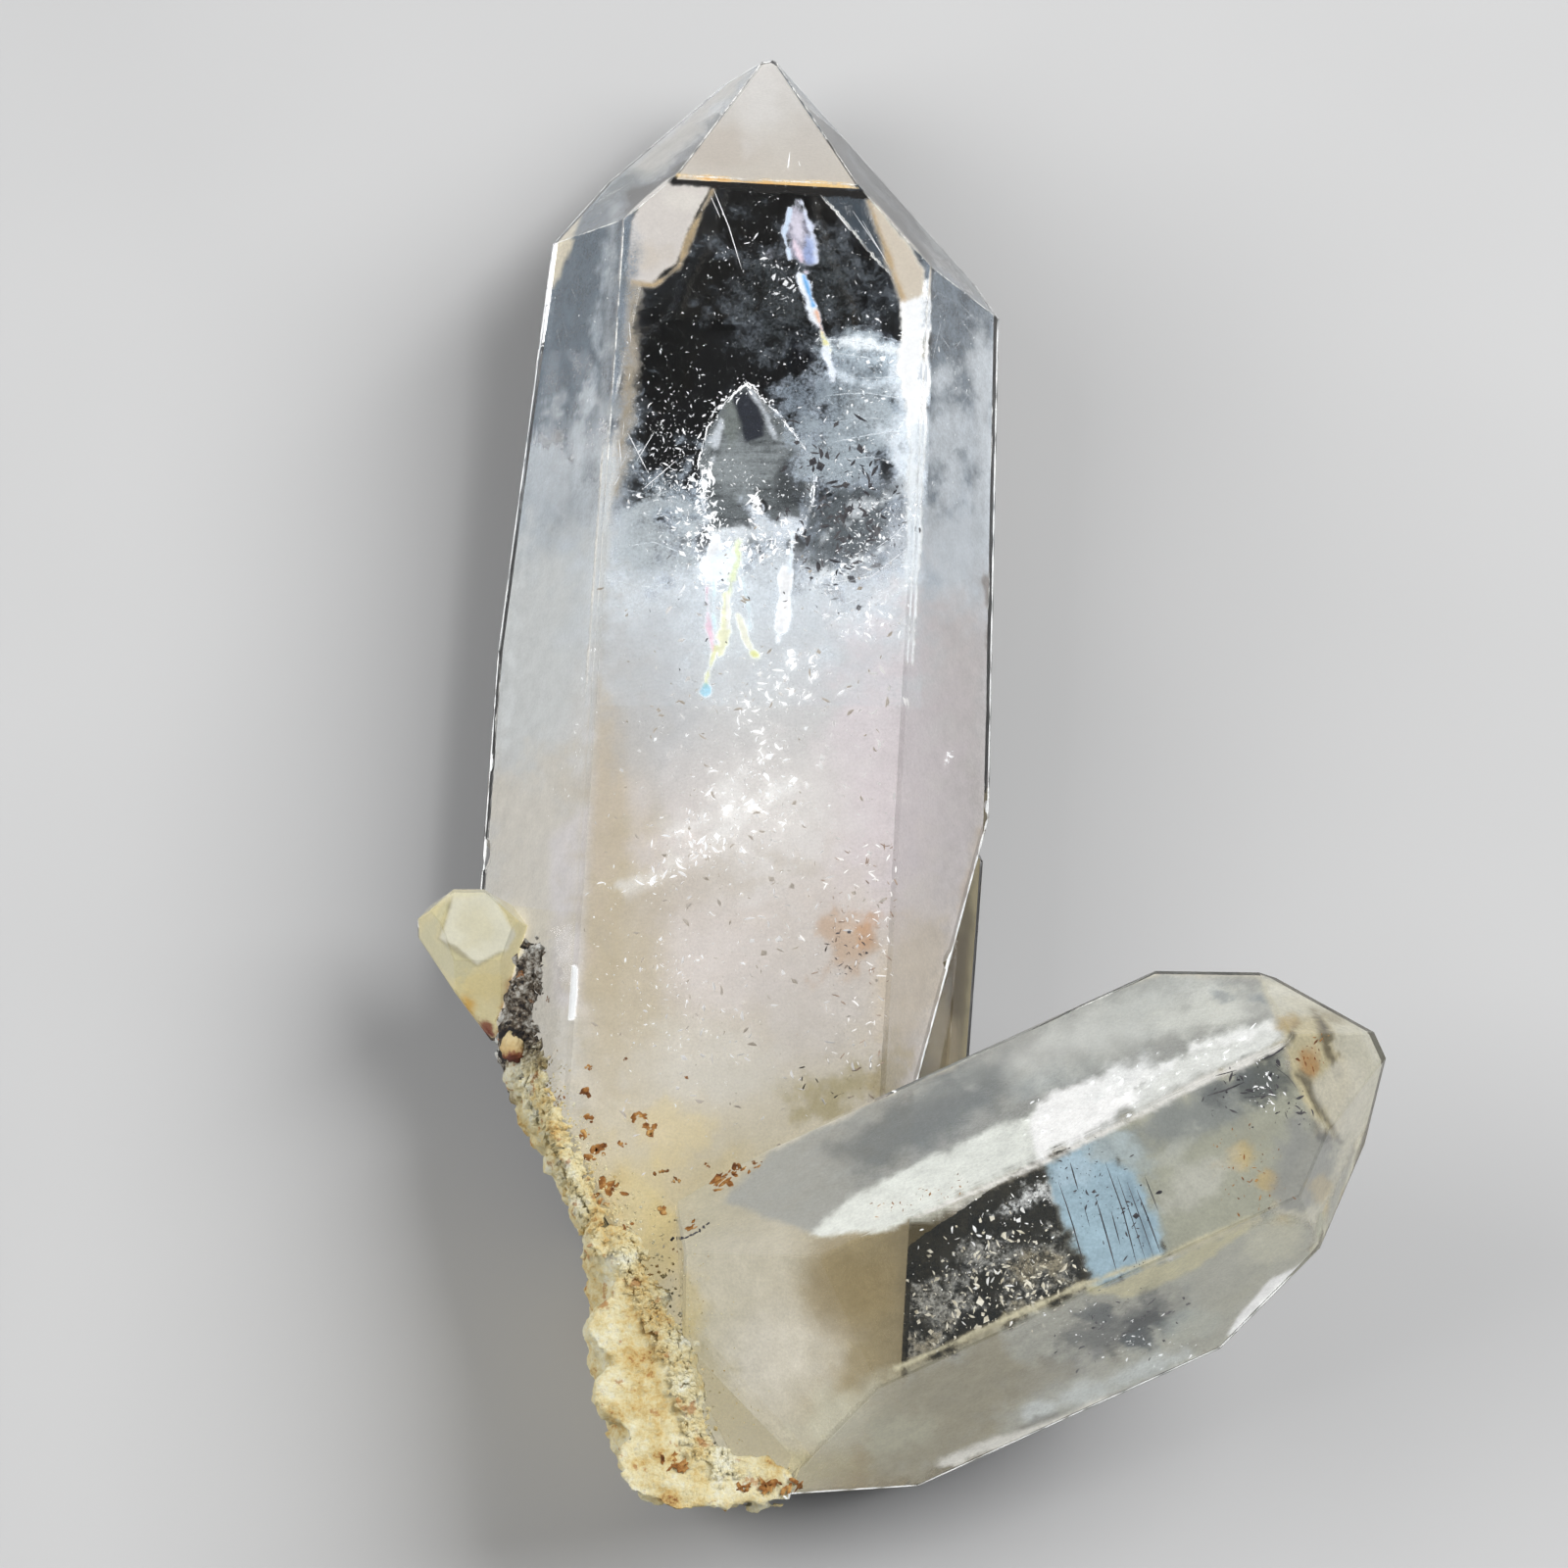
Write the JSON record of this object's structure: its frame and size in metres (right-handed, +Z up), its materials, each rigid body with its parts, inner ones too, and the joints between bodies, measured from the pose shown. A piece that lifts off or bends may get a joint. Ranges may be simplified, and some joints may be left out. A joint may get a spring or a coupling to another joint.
{
  "type": "enhydro quartz crystal",
  "caption": "Natural quartz specimen: a long clear-to-milky point crossed by another point at its root, with a small point and rough matrix on its flank.",
  "frame": {"origin": "on the surface that the specimen lies on, under the middle of its box", "axes": "+Y towards the long point's tip, +Z up from the face that it rests on, +X towards the second point's tip"},
  "size_m": [0.0524, 0.0896, 0.028],
  "materials": {
    "quartz": "polished natural faces, clear at the tip and milky lilac-white below, with a water chamber, veils and iron stains inside",
    "matrix": "rough granular, cream with orange-brown iron stains"
  },
  "bodies": {
    "root": {"quartz_cluster": "quartz", "matrix_crust": "matrix"}
  },
  "joints": []
}
